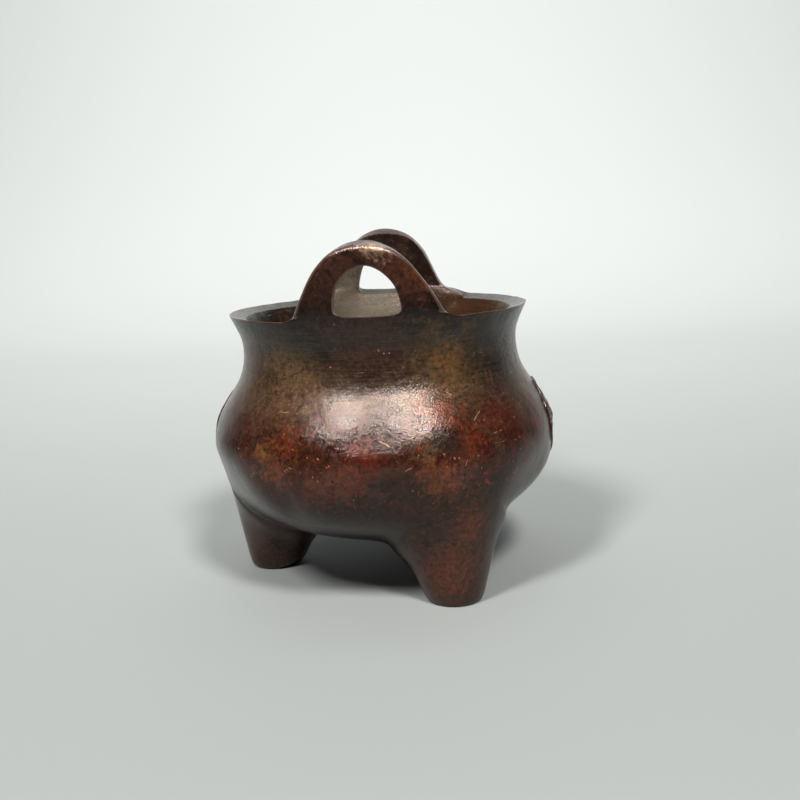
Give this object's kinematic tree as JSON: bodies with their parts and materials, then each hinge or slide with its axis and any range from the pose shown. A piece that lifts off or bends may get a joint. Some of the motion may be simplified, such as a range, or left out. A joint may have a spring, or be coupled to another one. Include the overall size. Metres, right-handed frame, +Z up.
{
  "type": "tripod censer",
  "caption": "Small round bronze incense burner with a flared lip, two upright loop handles, a full belly and three tapering feet.",
  "frame": {"origin": "on the vessel's axis, level with the soles of the three feet", "axes": "+Z up; the loop handles stand at +Y and -Y, the medallions face +X and -X, one foot stands near -X"},
  "size_m": [0.0929, 0.0924, 0.0933],
  "materials": {
    "patinated_bronze": "waxed brown patina, semi-gloss, with olive, red and rust patches"
  },
  "bodies": {
    "root": {"censer": "patinated_bronze"}
  },
  "joints": []
}
